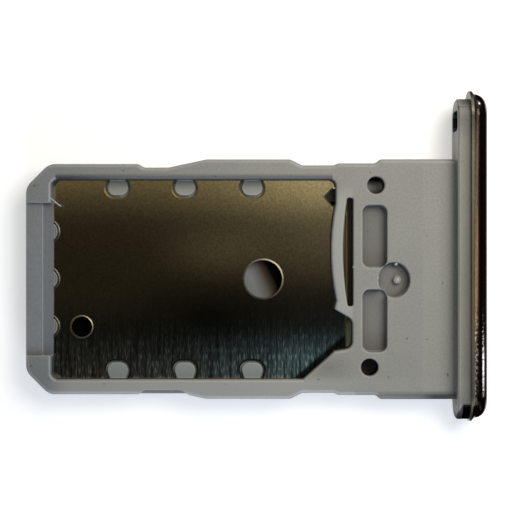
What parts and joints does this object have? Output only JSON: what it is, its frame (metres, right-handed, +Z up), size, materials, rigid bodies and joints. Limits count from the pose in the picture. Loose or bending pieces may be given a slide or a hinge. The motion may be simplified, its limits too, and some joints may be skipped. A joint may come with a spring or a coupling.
{
  "type": "sim card tray",
  "caption": "Flat moulded tray that slides a small card into a phone, with a steel pocket floor, a bowed spring arm, an upright trim cap and an eject pin hole.",
  "frame": {"origin": "on the surface the tray lies on, below the middle of its box", "axes": "+X out of the phone, along the tray's length and towards the cap; +Y along the cap towards the eject hole; +Z up out of the card pocket"},
  "size_m": [0.0204, 0.0146, 0.0023],
  "materials": {
    "carrier_plastic": "warm grey moulded plastic, fine spark texture",
    "plate_steel": "cold rolled stainless sheet, fine streaks across the tray",
    "cap_metal": "gloss dark coat with a bright bronze cut chamfer"
  },
  "bodies": {
    "root": {"carrier_frame": "carrier_plastic", "floor_plate": "plate_steel", "end_cap": "cap_metal"}
  },
  "joints": []
}
